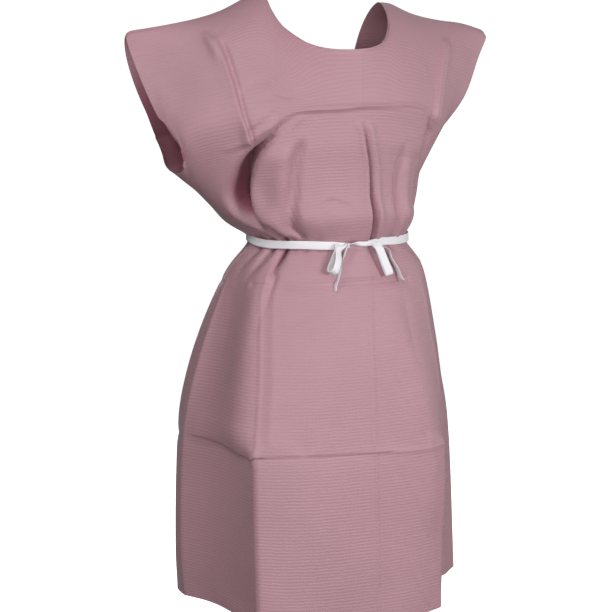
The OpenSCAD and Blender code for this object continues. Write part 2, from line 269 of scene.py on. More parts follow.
rows = joined(ROW_BANDS)
probe = np.linspace(-1, 1, 4001)
at_shoulder = share_of(probe, np.zeros_like(probe))
neck_right = float(np.interp(-NECK_SHARE, at_shoulder, probe))
neck_left = float(np.interp(NECK_SHARE, at_shoulder, probe))
OUTER_COLUMNS, INNER_COLUMNS, NECK_COLUMNS = 40, 20, 24
columns = joined([(-1, -0.5, OUTER_COLUMNS), (-0.5, neck_right, INNER_COLUMNS),
                  (neck_right, 0, NECK_COLUMNS), (0, neck_left, NECK_COLUMNS),
                  (neck_left, 0.5, INNER_COLUMNS), (0.5, 1, OUTER_COLUMNS)])
neck_column = {RIGHT: OUTER_COLUMNS + INNER_COLUMNS, LEFT: -1 - OUTER_COLUMNS - INNER_COLUMNS}


class Panel:
    """A grid of cloth points that folds are pressed into before it becomes a mesh."""

    def __init__(self, face, share, column, hem):
        self.face = face
        lowest = np.maximum(rows - LOW_CREASE, 0)[:, None]
        self.place = rows[:, None] - lowest * (HEM - curve(hem, share))
        self.share, self.column = share, column
        self.base = cloth_point(self.place, share, face)
        self.measure()
        self.lift = np.zeros(share.shape)
        self.drag = np.zeros(share.shape)

    def measure(self):
        """Directions and scales of the grid as it now lies."""
        over, down = np.gradient(self.base, axis=1), np.gradient(self.base, axis=0)
        share_step = np.gradient(self.share, axis=1)
        place_step = np.gradient(self.place, axis=0)
        reach = np.linalg.norm(over, axis=-1)
        self.per_share = (reach / np.abs(share_step).clip(1e-6)).clip(40, 900)
        self.per_place = (np.linalg.norm(down, axis=-1) / place_step.clip(1e-6)).clip(40, 900)
        self.sideways = over * np.sign(share_step)[..., None] / reach.clip(1e-6)[..., None]
        self.out = unit(np.cross(self.sideways, down)) * self.face

    def flatten(self, start, end, weight, bow):
        """Draws the cloth between two shares straight, bowed inwards by bow mm in the middle."""
        start, end = curve(start, rows), curve(end, rows)
        for i, share in enumerate(self.share):
            inside = (share >= start[i]) & (share <= end[i])
            order = slice(None) if share[-1] > share[0] else slice(None, None, -1)
            first, last = [
                np.array([np.interp(x, share[order], self.base[i, order, axis]) for axis in range(3)])
                for x in (start[i], end[i])]
            old = self.base[i, inside]
            line = last - first
            along = ((old - first) @ line) / (line @ line)
            straight = first + along[:, None].clip(0, 1) * line
            outward = np.cross(unit(line), (0, 0, 1)) * -self.face
            straight -= outward * (bow[i] * np.sin(np.pi * along.clip(0, 1)))[:, None]
            straight[:, 2] = old[:, 2]
            self.base[i, inside] = old + (straight - old) * weight[i]

    def relax(self, weight, passes, axis):
        """Evens the cloth out, down its length (axis 0) or round its cross-section (axis 1)."""
        base = np.moveaxis(self.base, axis, 0)
        inner = np.moveaxis(np.broadcast_to(weight, self.share.shape), axis, 0)[1:-1, :, None]
        for _ in range(passes):
            mean = (base[:-2] + 2 * base[1:-1] + base[2:]) / 4
            base[1:-1] += (mean - base[1:-1]) * inner

    def across(self, line):
        """Distance in mm to the side of a line that runs down the cloth: (place, share)."""
        return (self.share - curve(line, self.place)) * self.per_share

    def below(self, line):
        """Distance in mm below a line that runs across the cloth: (share, place)."""
        return (self.place - curve(line, self.share)) * self.per_place

    def points(self):
        return self.base + self.out * self.lift[..., None] + self.sideways * self.drag[..., None]


def crest(distance, width, rounding=0.8):
    """A pressed crease: a narrow ridge with a nearly sharp top."""
    return np.exp(-(np.sqrt(distance**2 + rounding**2) - rounding) / width)


def tuck(distance, edge, back):
    """A crease whose near side overhangs: a quick step in, then a slow return."""
    return smoothstep(-edge, edge, distance) * np.exp(-distance.clip(0) / back)


place_grid, column_grid = np.meshgrid(rows, columns, indexing="ij")
# How far down the hem hangs, as a place by share
HEM_FRONT = [(-1, 4.95), (-0.79, 4.962), (-0.62, 4.975), (-0.46, 4.985), (-0.3, 4.995), (0.3, 5.01),
             (0.34, 5.01), (0.6, 5.0), (1, 5.03)]
HEM_BACK = [(-1, 4.95), (-0.6, 4.95), (0, 4.97), (0.6, 5.0), (1, 5.03)]
# The stiff skirt hangs as a box: flat sides behind its front corners
CORNER_RIGHT = [(2.9, -0.66), (3.4, -0.65), (3.85, -0.6), (4.0, -0.468), (4.15, -0.455), (5, -0.438)]
CORNER_LEFT = [(2.9, 0.2), (3.29, 0.24), (3.5, 0.32), (4.04, 0.39), (4.5, 0.37), (5, 0.345)]
SIDE_RIGHT, SIDE_LEFT = [(0, -1), (5, -1)], [(0, 1), (5, 1)]
# How far its sides bow inwards in mm, and how fully they are drawn flat, by place
BOW_RIGHT = [(2.6, 0), (3.0, 12), (3.6, 17), (4.0, 9), (5, 10)]
BOW_LEFT = [(3, 0), (4, 4), (4.6, 12), (5, 18)]
TAUT_RIGHT = [(2.7, 0), (3.2, 0.9), (4, 1), (5, 1)]
TAUT_LEFT = [(2.9, 0), (3.3, 0.35), (3.6, 0.6), (4, 1), (5, 1)]
UPPER_SOFTENING, SKIRT_SOFTENING, SIDE_STRAIGHTENING = 16, 60, 110


def front_panel():
    """The front, with a boxed skirt and straight falls under the sleeves."""
    panel = Panel(FRONT, share_of(column_grid, place_grid), column_grid, HEM_FRONT)
    panel.flatten(SIDE_RIGHT, CORNER_RIGHT, curve(TAUT_RIGHT, rows), curve(BOW_RIGHT, rows))
    panel.flatten(CORNER_LEFT, SIDE_LEFT, curve(TAUT_LEFT, rows), curve(BOW_LEFT, rows))
    panel.relax(window(rows[:, None], 2.9, 3.92, 0.08), SKIRT_SOFTENING, 1)
    panel.relax(window(rows[:, None], 0.1, 0.92, 0.1), UPPER_SOFTENING, 1)
    under_sleeves = window(panel.share, -0.9, -0.36, 0.08) + window(panel.share, 0.6, 0.9, 0.08)
    panel.relax(window(panel.place, 0.65, 1.45, 0.15) * under_sleeves, SIDE_STRAIGHTENING, 0)
    panel.measure()
    return panel


front = front_panel()


def back_panel(side):
    """One side of the back: its columns meet the front's at the shoulder and the side seam."""
    edge = slice(neck_column[side], None, side)
    part = ((front.share[0, edge] * side - NECK_SHARE) / (1 - NECK_SHARE)).clip(0)
    inner = curve(OPENING, rows)[:, None]
    share = inner + (1 - inner) * part[None, :]
    panel = Panel(BACK, side * share, np.repeat(columns[None, edge], len(rows), 0), HEM_BACK)
    panel.relax(window(rows[:, None], 0.1, 0.92, 0.1), UPPER_SOFTENING, 1)
    panel.measure()
    return panel


backs = {RIGHT: back_panel(RIGHT), LEFT: back_panel(LEFT)}


# -------- folds
# Each function adds to the panel's lift: t is the place down the cloth, q or s the share across.
def fold_yoke(p):
    t, q, lift = p.place, p.share, p.lift

    # Chest crease: above it the yoke stands out as a shelf towards the wearer's right
    chest = [(-0.95, 1.19), (-0.61, 1.26), (-0.443, 1.21), (-0.377, 1.13), (-0.29, 1.07),
             (-0.217, 1.02), (-0.01, 1.02), (0.12, 0.99), (0.357, 0.96), (0.463, 0.96),
             (0.52, 0.98), (0.603, 1.07), (0.8, 1.3)]
    d = p.below(chest)
    span = window(q, -0.56, 0.6, 0.05)
    lift += 2.6 * span * crest(d, 2.4, 0.5)
    lift -= 0.8 * span * swell(d - 7, 4)
    shelf = np.where(d < 0, swell(d, 48), 1 - smoothstep(0, 10, d))
    lift += 6.0 * window(q, -0.44, -0.36, 0.06) * shelf

    # Quarter creases above the chest
    d = p.across(CREASE_RIGHT)
    run = window(t, 0.42, 1.2, 0.1)
    lift += 4.5 * np.where(d < 0, crest(d, 14, 1), crest(d, 5, 1)) * run
    lift -= 5.5 * swell(d - 5.5, 3) * window(t, 0.5, 1.2, 0.12)
    lift += 3.0 * swell(d + 8, 6) * window(t, 0.36, 0.5, 0.12)
    lift += 6.0 * window(p.across(CREASE_LEFT), -5, 7, 5) * window(t, 0.42, 0.98, 0.12)
    lift += 0.6 * crest(p.across(CREASE_MIDDLE), 3) * window(t, 0.05, 1.0, 0.05)

    # Small slanting wrinkles between the neck and the wearer's right crease
    for line, start, end, depth in (
            ([(-0.5, 0.86), (-0.4, 0.80), (-0.26, 0.74)], -0.45, -0.34, 4.5),
            ([(-0.4, 0.93), (-0.3, 0.9), (-0.2, 0.9)], -0.36, -0.25, 3.4),
            ([(-0.45, 1.1), (-0.36, 1.02), (-0.25, 0.94)], -0.42, -0.28, 4.0)):
        lift -= depth * tuck(p.below(line), 2.5, 15) * window(q, start, end, 0.06)


def fold_bodice(p):
    t, q, lift = p.place, p.share, p.lift

    # The front stands out between chest and belt, with an arched tuck above the belt
    lift += 10.0 * window(q, -0.3, 0.5, 0.16) * smoothstep(1.0, 1.5, t) * (1 - smoothstep(2.12, 2.46, t))
    arch = [(-0.3, 2.25), (-0.2, 2.1), (-0.1, 1.98), (0.0, 2.06), (0.1, 2.25)]
    lift -= 2.2 * window(q, -0.17, 0.0, 0.08) * tuck(p.below(arch), 5, 40)

    # Deep pleat under the wearer's right arm: a sharp lip hangs over a dark valley
    lip = [(1.08, -0.22), (1.22, -0.315), (1.41, -0.39), (1.68, -0.455), (1.86, -0.505),
           (2.1, -0.56), (2.28, -0.60), (2.42, -0.64)]
    d = p.across(lip)
    wide = curve([(1.08, 7), (1.3, 24), (1.5, 42), (1.75, 54), (2.1, 46), (2.3, 28), (2.45, 8)], t)
    deep = curve([(1.08, 4), (1.2, 18), (1.5, 40), (1.8, 48), (2.05, 44), (2.25, 22), (2.4, 2)], t)
    run = window(t, 1.12, 2.16, 0.12)
    valley = smoothstep(-1, -0.28, d / wide) * (1 - smoothstep(-0.28, 0.02, d / wide))
    lift -= deep * run * valley
    p.drag -= 0.2 * wide * run * swell(d - 0.06 * wide, 0.3 * wide)
    lift += 2.5 * run * swell(d - 7, 9)

    # Pleat down the middle crease, from a little tuck below the chest to the belt
    d = p.across(CREASE_MIDDLE)
    wide = curve([(1.15, 2), (1.5, 2), (1.9, 2.2), (2.1, 3.2), (2.45, 4)], t)
    deep = curve([(1.15, 1.0), (1.4, 5), (1.8, 8), (2.0, 12), (2.3, 15), (2.45, 10)], t)
    run = window(t, 1.2, 2.44, 0.06)
    lift -= 1.3 * deep * run * swell(d - 0.6 * wide, wide)
    lift += 5.0 * run * swell(d + 7, 5)
    lift += 6.0 * run * swell(d - 12, 6)

    # Soft folds: height, width, where the fold starts and ends, how softly, and its line
    for height, wide, start, end, soft, line in (
            (-10, 6, 1.42, 2.3, 0.14,
             [(1.3, -0.19), (1.52, -0.235), (1.85, -0.29), (2.1, -0.35), (2.3, -0.42)]),
            (6, 12, 1.45, 2.3, 0.14, [(1.3, -0.28), (1.52, -0.32), (1.85, -0.38), (2.25, -0.52)]),
            (-8, 5.5, 1.6, 2.42, 0.3, [(1.32, 0.385), (1.66, 0.352), (2.02, 0.347), (2.43, 0.36)]),
            (5, 10, 1.6, 2.4, 0.3, [(1.3, 0.43), (2.43, 0.43)])):
        lift += height * swell(p.across(line), wide) * window(t, start, end, soft)

    # Wearer's left underarm: a dark tuck with a comb of fine pleats running into it
    d = p.across([(0.95, 0.56), (1.1, 0.585), (1.3, 0.6), (1.5, 0.63)])
    run = window(t, 1.06, 1.36, 0.09)
    lift -= 9 * swell(d, 7) * run
    for k in range(5):
        comb = p.below([(0.5, 1.06 + 0.065 * k), (0.7, 1.14 + 0.065 * k)])
        lift -= 2.2 * swell(comb, 3) * window(q, 0.54, 0.62, 0.04)


def reach_from_belt(t, above, below):
    """Distance from the belt as a share of how far a gather reaches above and below it."""
    return np.where(t < BELT, (BELT - t) / above, (t - BELT) / below)


def gather_front(p):
    t, q, lift = p.place, p.share, p.lift

    # Cloth blouses over the belt, and is nipped in under it
    lift += 6 * swell(t - 2.22, 0.2) * window(q, -0.62, 0.5, 0.2)
    lift -= swell(t - BELT, 0.07)

    # Gathers that run into the belt: share at the belt, width, depth, reach above and below,
    # and how far the fold has drifted at the end of its reach
    for at, wide, deep, above, below, drift in (
            (-0.86, 6, 4, 0.2, 0.3, -0.04), (-0.69, 4, 6, 0.12, 0.3, -0.05),
            (-0.62, 3, 3.5, 0.1, 0.08, 0.02), (-0.565, 3, 8, 0.2, 0.42, 0.0),
            (-0.5, 3.5, 4, 0.12, 0.08, 0.02), (-0.44, 3, 4.5, 0.2, 0.1, 0.07),
            (-0.3, 7, 2, 0.12, 0.12, 0.02), (-0.04, 4, 3, 0.05, 0.22, 0.01),
            (0.13, 4, 4, 0.05, 0.3, 0.02), (0.3, 5, 3, 0.1, 0.12, 0.0),
            (0.47, 3, 4.5, 0.22, 0.06, -0.04), (0.6, 4, 3.5, 0.15, 0.2, 0.03),
            (0.75, 5, 4, 0.3, 0.3, 0.04), (0.88, 6, 4, 0.2, 0.3, 0.02)):
        reach = reach_from_belt(t, above, below)
        centre = at + drift * reach.clip(0, 1.5)
        d = (q - centre) * p.per_share
        lift -= 2.1 * deep * np.exp(-reach**2) * crest(d, wide * (1 + 0.7 * reach.clip(0, 3)), 1.2)


def fold_skirt(p):
    t, q, lift = p.place, p.share, p.lift

    # The middle crease, the pack crease below the belt, and the sharp front corner of the box
    lift += 1.8 * crest(p.across(CREASE_MIDDLE), 2.5, 0.5) * window(t, 2.9, 5, 0.1)
    pack_crease = [(-1, 2.95), (-0.6, 2.95), (-0.1, 2.92), (0.5, 2.93), (1, 2.95)]
    lift -= 4.6 * tuck(p.below(pack_crease), 2, 9) * window(q, -0.68, 0.36, 0.06)
    d = p.across(CREASE_RIGHT)
    lift += 9 * crest(d, 55, 1.5) * window(t, 4.02, 5, 0.25)
    lift += 2.6 * crest(d, 4) * window(t, 2.75, 4.0, 0.1)
    lift += 2.0 * crest(d - 13, 4) * window(t, 2.95, 3.9, 0.1)
    lift += 5 * crest(p.across([(3, -0.7), (3.5, -0.66), (4, -0.6)]), 40, 14) * window(t, 3.0, 3.9, 0.3)

    # Lower pack crease: the cloth above it faces down, the cloth below stands out again
    d = p.below([(-1, 3.97), (-0.75, 3.97), (-0.5, 4.0), (-0.25, 3.99), (0.03, 4.0),
                 (0.25, 4.02), (1, 4.0)])
    lift -= 2.6 * tuck(d, 2, 12) * window(q, -1.1, -0.45, 0.05)
    lift -= 2.0 * tuck(d, 2, 12) * window(q, -0.45, 0.06, 0.05)
    lift += 1.6 * crest(d, 3.5) * window(q, 0.03, 1.1, 0.05)
    lift += 2.5 * smoothstep(-60, 0, d) * (1 - smoothstep(0, 14, d)) * window(q, -1.1, -0.6, 0.1)

    # Wearer's left: a soft edge, then the quarter crease with a hollow behind it
    edge = [(3.1, 0.18), (3.37, 0.24), (3.62, 0.273), (4.04, 0.29), (5, 0.3)]
    lift += 5 * crest(p.across(edge), 30, 8) * window(t, 3.2, 4.3, 0.3)
    lift += 4 * crest(p.across(CREASE_LEFT), 12) * window(t, 3.2, 5, 0.3)
    for line in ([(3.55, 0.16), (4.15, 0.32)], [(4.1, 0.13), (4.62, 0.3)], [(4.7, 0.16), (4.98, 0.27)]):
        lift += 1.6 * crest(p.across(line), 3) * window(t, line[0][0], line[1][0], 0.08)
    lift -= 10 * swell(p.across([(3, 0.8), (5, 0.78)]), 22) * window(t, 4.2, 5, 0.5)


def bend_edges(p):
    """The armhole edge, the neckline and the hem bend a little."""
    t, q, lift = p.place, p.share, p.lift
    lift += 2.5 * np.sin(9 * t + 1) * smoothstep(0.8, 1, np.abs(q)) * window(t, 0.1, 1.3, 0.1)
    lift += 1.2 * np.sin(14 * q + 1) * (1 - smoothstep(0, 0.12, t)) * window(q, -0.3, 0.3, 0.06)
    lift += 1.5 * np.sin(16 * q) * smoothstep(4.75, 5, t)


def fold_back(p, side):
    """Pack creases, gathers and slow waves of one side of the back."""
    t, s, lift = p.place, np.abs(p.share), p.lift
    part = np.abs(p.column)
    across = (part - 0.5) * (1 - curve(OPENING, t)) * p.per_share
    lift += 3.0 * crest(across, 8) * window(t, 0.3, 2.2, 0.15)
    lift += 5.0 * crest(across, 40, 2) * window(t, 3.2, 5, 0.5)
    lift += 1.8 * crest(p.below([(0, 1.02), (1, 1.05)]), 5) * window(s, 0.1, 0.9, 0.1)
    lift -= 1.5 * crest(p.below([(0, 3.0), (1, 2.96)]), 5) * window(s, 0.0, 0.9, 0.1)
    lift -= 3.0 * crest(p.below([(0, 4.0), (1, 3.97)]), 11)
    lean = 0.06 * side
    for at, wide, deep, above, below in (
            (0.12, 6, 5, 0.3, 0.35), (0.24, 4, 6, 0.5, 0.2), (0.36 + lean, 6, 7, 0.5, 0.5),
            (0.49, 4, 5, 0.2, 0.35), (0.6 + lean, 6, 8, 0.8, 0.4), (0.72, 4, 5, 0.3, 0.25),
            (0.86, 6, 6, 0.4, 0.5)):
        reach = reach_from_belt(t, above, below)
        d = (s - at) * p.per_share
        lift -= deep * np.exp(-reach**2) * swell(d, wide * (1 + 0.8 * reach.clip(0, 3)))
    lift += 5 * swell(t - 2.2, 0.2) * window(s, 0.1, 0.8, 0.2)
    lift += 3.5 * np.sin(3.1 * t + 5 * s + side) * window(t, 3.2, 5, 0.4) * window(s, 0.1, 0.8, 0.15)
    lift += 2.0 * np.sin(7 * t + side) * (1 - smoothstep(0, 0.2, part)) * window(t, 0.2, 4.8, 0.2)


def finish_folds(p):
    """Keeps welded edges in place and the cloth inside the belt."""
    t, s = p.place, np.abs(p.share)
    held = np.where(s >= NECK_SHARE, smoothstep(0, 0.12, t), 1)
    held = held * np.where(t > SEAM_TOP - 0.1, 1 - smoothstep(0.955, 1, s), 1)
    p.lift *= held
    p.drag *= held
    squeeze = swell((t - BELT) * p.per_place, 9)
    p.lift = np.where(p.lift > 0.6, p.lift + (0.6 - p.lift) * squeeze, p.lift)


for fold in (fold_yoke, fold_bodice, gather_front, fold_skirt, bend_edges):
    fold(front)
finish_folds(front)
for side, panel in backs.items():
    fold_back(panel, side)
    finish_folds(panel)


# -------- one welded surface
# Painted shade: the inner face of the cloth and the bottoms of deep folds take a darker, deeper colour in
# place of their shade and of the cloth-coloured light passed between facing folds: how fully the inner face
# is painted so, and the depths in mm at which a fold's painted shade begins and is full
INSIDE_SHADE = 0.85
SHADE_START_DEPTH, FULL_SHADE_DEPTH = 4, 21


def blurred(grid, passes):
    """The grid, each value averaged with its neighbours."""
    for _ in range(passes):
        padded = np.pad(grid, 1, mode="edge")
        grid = (padded[:-2, 1:-1] + padded[2:, 1:-1] + padded[1:-1, :-2] + padded[1:-1, 2:] + 2 * grid) / 6
    return grid


class Surface:
    """All the cloth as one welded grid of points, normals and cloth coordinates."""

    def __init__(self, panels):
        self.points, self.flat, self.inside, self.index = [], [], [], {}
        for name, p in panels.items():
            self.index[name] = len(self.points) + np.arange(p.place.size).reshape(p.place.shape)
            self.points.extend(p.points().reshape(-1, 3) * MM)
            neck = NECK_CUT * np.cos(np.radians(90 * (np.abs(p.share[0]) / NECK_SHARE).clip(0, 1)))**0.75
            chest = down_cloth[rows == CHEST][0]
            v = rows.clip(0, 1)[:, None]
            down = np.where(v < 1, neck * (1 - v) + chest * v, down_cloth[:, None])
            # Painted fold shade: how deep the cloth is pressed in sets how far its colour darkens, stored in
            # metres as the third cloth coordinate
            fold_shade = MM * smoothstep(SHADE_START_DEPTH, FULL_SHADE_DEPTH, -blurred(p.lift, 3))
            flat = np.stack([p.column * HALF_SHEET * MM, down, fold_shade], -1)
            self.flat.extend(flat.reshape(-1, 3))
            # Painted shade for the inner face of the cloth, growing from place 0.35 to 0.85
            self.inside.extend((MM * INSIDE_SHADE * smoothstep(0.35, 0.85, p.place)).ravel())
        self.points, self.flat, self.inside = map(np.array, (self.points, self.flat, self.inside))

    def weld(self, kept, gone):
        self.points[kept] = (self.points[kept] + self.points[gone]) / 2
        remap = np.arange(len(self.points))
        remap[gone] = kept
        for name in self.index:
            self.index[name] = remap[self.index[name]]

    def build(self):
        """Joins the grids' faces, each with its panel's name and its row, and smooths the normals."""
        self.faces, self.names, self.rows = [], [], []
        for name, grid in self.index.items():
            a, b, c, d = grid[:-1, :-1], grid[:-1, 1:], grid[1:, 1:], grid[1:, :-1]
            quads = np.stack([a, b, c, d] if name == "left" else [a, d, c, b], -1)
            self.faces.append(quads.reshape(-1, 4))
            self.names.append(np.full(quads[..., 0].size, name))
            self.rows.append(np.repeat(rows[:-1], quads.shape[1]))
        self.faces, self.names, self.rows = map(np.concatenate, (self.faces, self.names, self.rows))
        corners = self.points[self.faces]
        weights = np.cross(corners[:, 2] - corners[:, 0], corners[:, 3] - corners[:, 1])
        self.normals = np.zeros_like(self.points)
        for k in range(4):
            np.add.at(self.normals, self.faces[:, k], weights)
        self.normals = unit(self.normals)


panels = {"front": front, "right": backs[RIGHT], "left": backs[LEFT]}
row_steps = np.diff(rows) * np.median((front.per_place[1:] + front.per_place[:-1]) / 2, axis=1)
down_cloth = np.concatenate([[0], np.cumsum(row_steps)]) * MM
cloth = Surface(panels)
seam_row = int(np.searchsorted(rows, SEAM_TOP))
for side, name in SIDES:
    cloth.weld(cloth.index["front"][0, neck_column[side]::side], cloth.index[name][0])
    cloth.weld(cloth.index["front"][seam_row:, 0 if side == RIGHT else -1],
               cloth.index[name][seam_row:, -1])
cloth.build()


# -------- materials
class Shader:
    """Shorthand for a material's node tree."""

    def __init__(self, name):
        self.material = bpy.data.materials.new(name)
        self.material.use_nodes = True
        self.nodes, self.links = self.material.node_tree.nodes, self.material.node_tree.links
        self.surface = self.nodes["Principled BSDF"]

    def node(self, kind, **settings):
        made = self.nodes.new(kind)
        for key, value in settings.items():
            setattr(made, key, value)
        return made

    def put(self, socket, value):
        if isinstance(value, bpy.types.NodeSocket):
            self.links.new(value, socket)
        else:
            socket.default_value = value

    def set(self, name, value):
        """Sets or links an input of the surface."""
        self.put(self.surface.inputs[name], value)

    def math(self, operation, *values):
        made = self.node("ShaderNodeMath", operation=operation)
        for socket, value in zip(made.inputs, values):
            self.put(socket, value)
        return made.outputs[0]

    def cloth_coordinates(self):
        attribute = self.node("ShaderNodeAttribute", attribute_name="flat")
        split = self.node("ShaderNodeSeparateXYZ")
        self.links.new(attribute.outputs["Vector"], split.inputs[0])
        return attribute.outputs["Vector"], split.outputs

    def noise(self, vector, scale, detail=2.0, stretch=(1, 1, 1)):
        mapping = self.node("ShaderNodeMapping")
        mapping.inputs["Scale"].default_value = stretch
        self.links.new(vector, mapping.inputs["Vector"])
        made = self.node("ShaderNodeTexNoise")
        made.inputs["Scale"].default_value = scale
        made.inputs["Detail"].default_value = detail
        self.links.new(mapping.outputs[0], made.inputs["Vector"])
        return made.outputs["Fac"]

    def ribs(self, coordinate, pitch, wander, amount):
        """Cosine ribs along one cloth coordinate, wandering by amount metres with the noise."""
        moved = self.math("MULTIPLY_ADD", self.math("SUBTRACT", wander, 0.5), amount, coordinate)
        phase = self.math("MULTIPLY", moved, 2 * math.pi / pitch)
        return self.math("MULTIPLY_ADD", self.math("COSINE", phase), 0.5, 0.5)

    def mix(self, amount, a, b):
        made = self.node("ShaderNodeMix", data_type="RGBA")
        self.put(made.inputs[0], amount)
        self.put(made.inputs[6], a)
        self.put(made.inputs[7], b)
        return made.outputs[2]

    def bump(self, height, distance, under=None):
        made = self.node("ShaderNodeBump")
        made.inputs["Distance"].default_value = distance
        self.links.new(height, made.inputs["Height"])
        if under is not None:
            self.links.new(under, made.inputs["Normal"])
        return made.outputs[0]


RIB_PITCH, RIB_WANDER, RIB_HEIGHT = 0.0050, 0.0028, 0.00024
THREAD_PITCH, THREAD_WANDER, FIBRE_HEIGHT = 0.0046, 0.003, 0.00025
TISSUE_ROUGHNESS, TRANSLUCENCE = 0.5, 0.1


def tissue(name, light, dark, deep):
    """Ribbed tissue laminate, patchy in tone, with painted shade: a darker, deeper and duller colour inside
    folds and on the inner face, and darker grooves between the ribs.
    """
    s = Shader(name)
    # depth is the painted fold shade amount, in metres
    vector, (u, v, depth) = s.cloth_coordinates()
    wander = s.noise(vector, 45, 2)
    patch = s.noise(vector, 9, 3)
    fibre = s.noise(vector, 900, 3, (1, 2.5, 1))
    ribs = s.ribs(v, RIB_PITCH, wander, RIB_WANDER)
    broken = s.noise(vector, 130, 1, (1, 3, 1))
    ribs = s.math("MULTIPLY", ribs, s.math("MULTIPLY_ADD", broken, 1.6, 0.05))
    threads = s.ribs(u, THREAD_PITCH, wander, THREAD_WANDER)
    relief = s.math("MULTIPLY_ADD", threads, 0.18, ribs)
    # The tone mixes random patches and fibre with painted shade: the grooves between the ribs and threads
    # are darker.
    tone = s.math("ADD", s.math("MULTIPLY", patch, 0.45),
                  s.math("MULTIPLY_ADD", relief, 0.13, s.math("MULTIPLY", fibre, 0.4)))
    # Painted shade: the colour is mixed towards deep, and the specular lowered, by the fold depth
    fold_shade = s.math("MINIMUM", s.math("MULTIPLY", depth, 1 / MM), 1.0)
    colour = s.mix(fold_shade, s.mix(tone, dark, light), deep)
    s.set("Base Color", colour)
    s.set("Roughness", s.math("MULTIPLY_ADD", fibre, 0.2, TISSUE_ROUGHNESS))
    s.set("Specular IOR Level", s.math("MULTIPLY_ADD", fold_shade, -0.6, 0.8))
    s.set("Sheen Weight", 0.2)
    s.set("Sheen Roughness", 0.4)
    fine = s.bump(fibre, FIBRE_HEIGHT)
    s.set("Normal", s.bump(relief, RIB_HEIGHT, fine))
    through = s.node("ShaderNodeBsdfTranslucent")
    s.put(through.inputs["Color"], colour)
    both = s.node("ShaderNodeMixShader")
    both.inputs[0].default_value = TRANSLUCENCE
    s.links.new(s.surface.outputs[0], both.inputs[1])
    s.links.new(through.outputs[0], both.inputs[2])
    s.links.new(both.outputs[0], s.nodes["Material Output"].inputs["Surface"])
    return s.material


CORD_PITCH, CORD_WANDER, PICK_PITCH, PICK_WANDER, TAPE_RELIEF = 0.0013, 0.0004, 0.0009, 0.0003, 0.00018


def tape(name, light, dark):
    """Flat non-woven tape with fine cords along it and picks across."""
    s = Shader(name)
    vector, (u, v, _) = s.cloth_coordinates()
    fibre = s.noise(vector, 1400, 3, (1, 0.4, 1))
    wander = s.noise(vector, 200, 2)
    cords = s.ribs(u, CORD_PITCH, wander, CORD_WANDER)
    picks = s.ribs(v, PICK_PITCH, wander, PICK_WANDER)
    relief = s.math("MULTIPLY_ADD", picks, 0.5, cords)
    # The tone mixes the fibre's random tone with painted shade: the grooves between the cords and picks are
    # darker.
    tone = s.math("MULTIPLY_ADD", relief, 0.35, s.math("MULTIPLY", fibre, 0.5))
    s.set("Base Color", s.mix(tone, dark, light))
    s.set("Roughness", s.math("MULTIPLY_ADD", fibre, 0.2, 0.6))
    s.set("Specular IOR Level", 0.6)
    s.set("Sheen Weight", 0.15)
    s.set("Normal", s.bump(relief, TAPE_RELIEF))
    return s.material


# deep is the painted shade colour of fold bottoms and of the cloth's inner face
gown_tissue = tissue("gown_tissue", light=(0.53, 0.295, 0.34, 1), dark=(0.40, 0.205, 0.245, 1),
                     deep=(0.32, 0.10, 0.14, 1))
# A darker copy of the gown tissue for the seam strips inside the gown: painted shade.
seam_tissue = tissue("seam_tissue", light=(0.50, 0.26, 0.31, 1), dark=(0.36, 0.17, 0.21, 1),
                     deep=(0.30, 0.10, 0.14, 1))
belt_tape = tape("belt_tape", light=(0.89, 0.88, 0.91, 1), dark=(0.76, 0.74, 0.78, 1))


# -------- cloth pieces
CLOTH_THICKNESS = 0.0006


def mesh_object(name, points, faces, material, flat, loop_normals=None):
    mesh = bpy.data.meshes.new(name)
    mesh.from_pydata([tuple(p) for p in points], [], [tuple(f) for f in faces])
    mesh.polygons.foreach_set("use_smooth", [True] * len(mesh.polygons))
    attribute = mesh.attributes.new("flat", "FLOAT_VECTOR", "POINT")
    attribute.data.foreach_set("vector", np.asarray(flat, np.float32).ravel())
    mesh.materials.append(material)
    if loop_normals is not None:
        mesh.normals_split_custom_set([tuple(n) for n in loop_normals])
    obj = bpy.data.objects.new(name, mesh)
    bpy.context.scene.collection.objects.link(obj)
    return obj


def cloth_piece(name, picked, material):
    """A closed thin shell of the picked faces, shaded with the whole cloth's normals."""
    quads = cloth.faces[picked]
    quads = quads[np.array([len(set(q)) == 4 for q in quads])]
    used, local = np.unique(quads, return_inverse=True)
    local = local.reshape(quads.shape)
    n = len(used)
    points, normals, flat = cloth.points[used], cloth.normals[used], cloth.flat[used]
    outer, inner = points + normals * CLOTH_THICKNESS / 2, points - normals * CLOTH_THICKNESS / 2
    edges = {}
    for f in local.tolist():
        for a, b in zip(f, f[1:] + f[:1]):
            if edges.pop((b, a), None) is None:
                edges[(a, b)] = True
    rim = np.array([(b, a, a + n, b + n) for a, b in edges])
    # The inner face starts at the same corner, so both faces of the shell split alike
    inward = local[:, [0, 3, 2, 1]]
    faces = np.concatenate([local, inward + n, rim])
    both = np.concatenate([outer, inner])
    rim_normals = unit(np.cross(both[rim[:, 1]] - both[rim[:, 0]], both[rim[:, 3]] - both[rim[:, 0]]))
    loop_normals = np.concatenate([normals[local].reshape(-1, 3), -normals[inward].reshape(-1, 3),
                                   np.repeat(rim_normals, 4, 0)])
    # The inner face takes painted shade: at least the inside amount
    inner_flat = flat.copy()
    inner_flat[:, 2] = np.maximum(inner_flat[:, 2], cloth.inside[used])
    return mesh_object(name, both, faces, material, np.concatenate([flat, inner_flat]), loop_normals)


def joint_position(name):
    """Where a joint of the frame sits, and its axis."""
    joint = next(j for j in frame["joints"] if j["name"] == name)
    return np.array(joint["pos_m"], float), np.array(joint["axis"], float)


